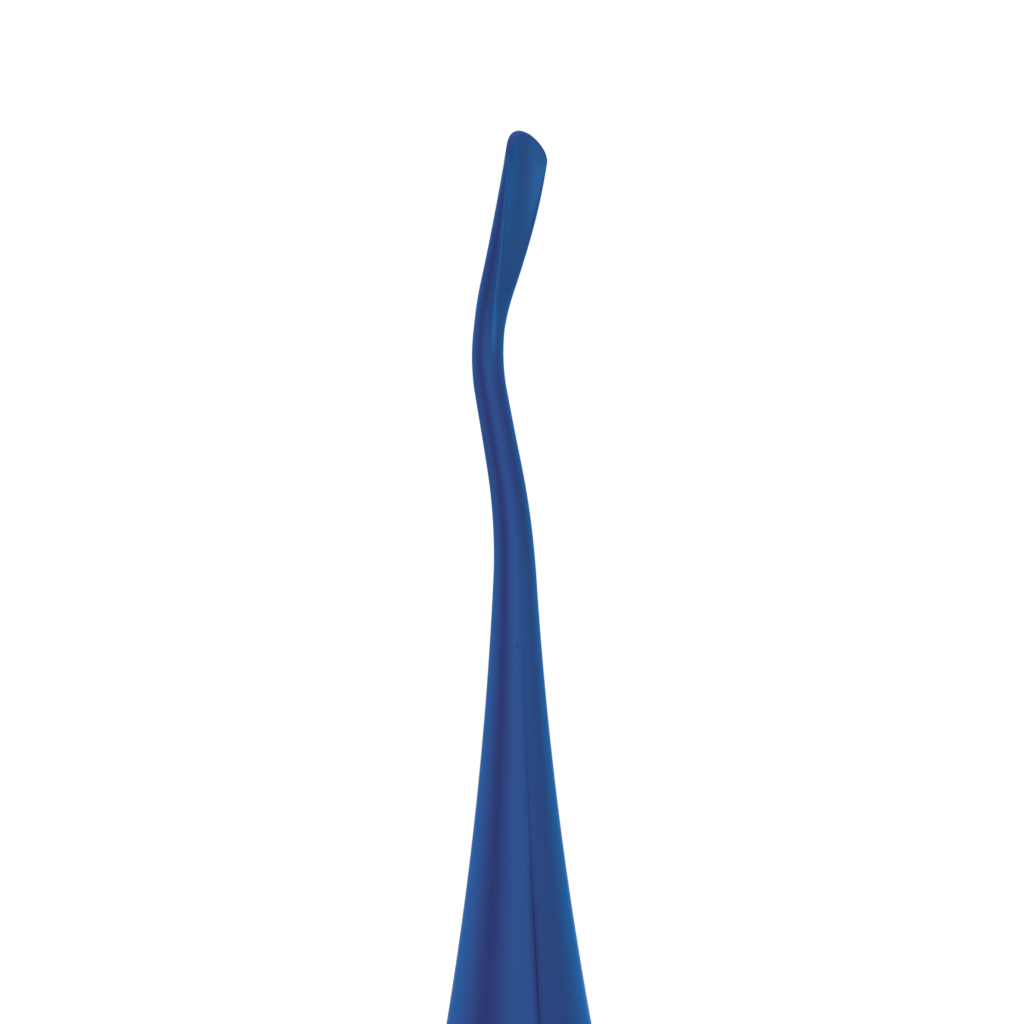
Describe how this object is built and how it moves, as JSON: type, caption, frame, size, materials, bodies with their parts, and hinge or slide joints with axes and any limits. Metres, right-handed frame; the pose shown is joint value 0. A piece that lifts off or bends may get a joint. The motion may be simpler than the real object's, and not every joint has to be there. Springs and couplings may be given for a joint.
{
  "type": "dental elevator",
  "caption": "Hand elevator with a hollow gouge tip on a slim double-bent shank, flaring into a grooved hollow handle with soft grip rings and a rounded flat-ended butt.",
  "frame": {"origin": "centre of the flat end face of the butt cap", "axes": "+Z along the handle axis towards the cutting edge; the hollow of the gouge faces the direction midway between +X and -Y; the handle's front seam is 16.6 degrees from -Y towards +X"},
  "size_m": [0.0154, 0.0154, 0.15],
  "materials": {
    "coated_metal": "satin metallic blue hard coating over polished steel",
    "bare_steel": "turned stainless steel, uncoated inside the handle",
    "ring_silicone": "matt navy silicone"
  },
  "bodies": {
    "root": {"working_end": "coated_metal", "tang_collar": "bare_steel", "tang_cross_pin": "bare_steel", "handle_shell_left": "coated_metal", "handle_shell_right": "coated_metal", "alignment_disc_front": "bare_steel", "alignment_disc_rear": "bare_steel", "grip_ring_1": "ring_silicone", "grip_ring_2": "ring_silicone", "grip_ring_3": "ring_silicone", "grip_ring_4": "ring_silicone", "grip_ring_5": "ring_silicone", "code_ring": "ring_silicone", "butt_plug": "bare_steel", "butt_cap": "coated_metal", "butt_seal_ring": "ring_silicone"}
  },
  "joints": []
}
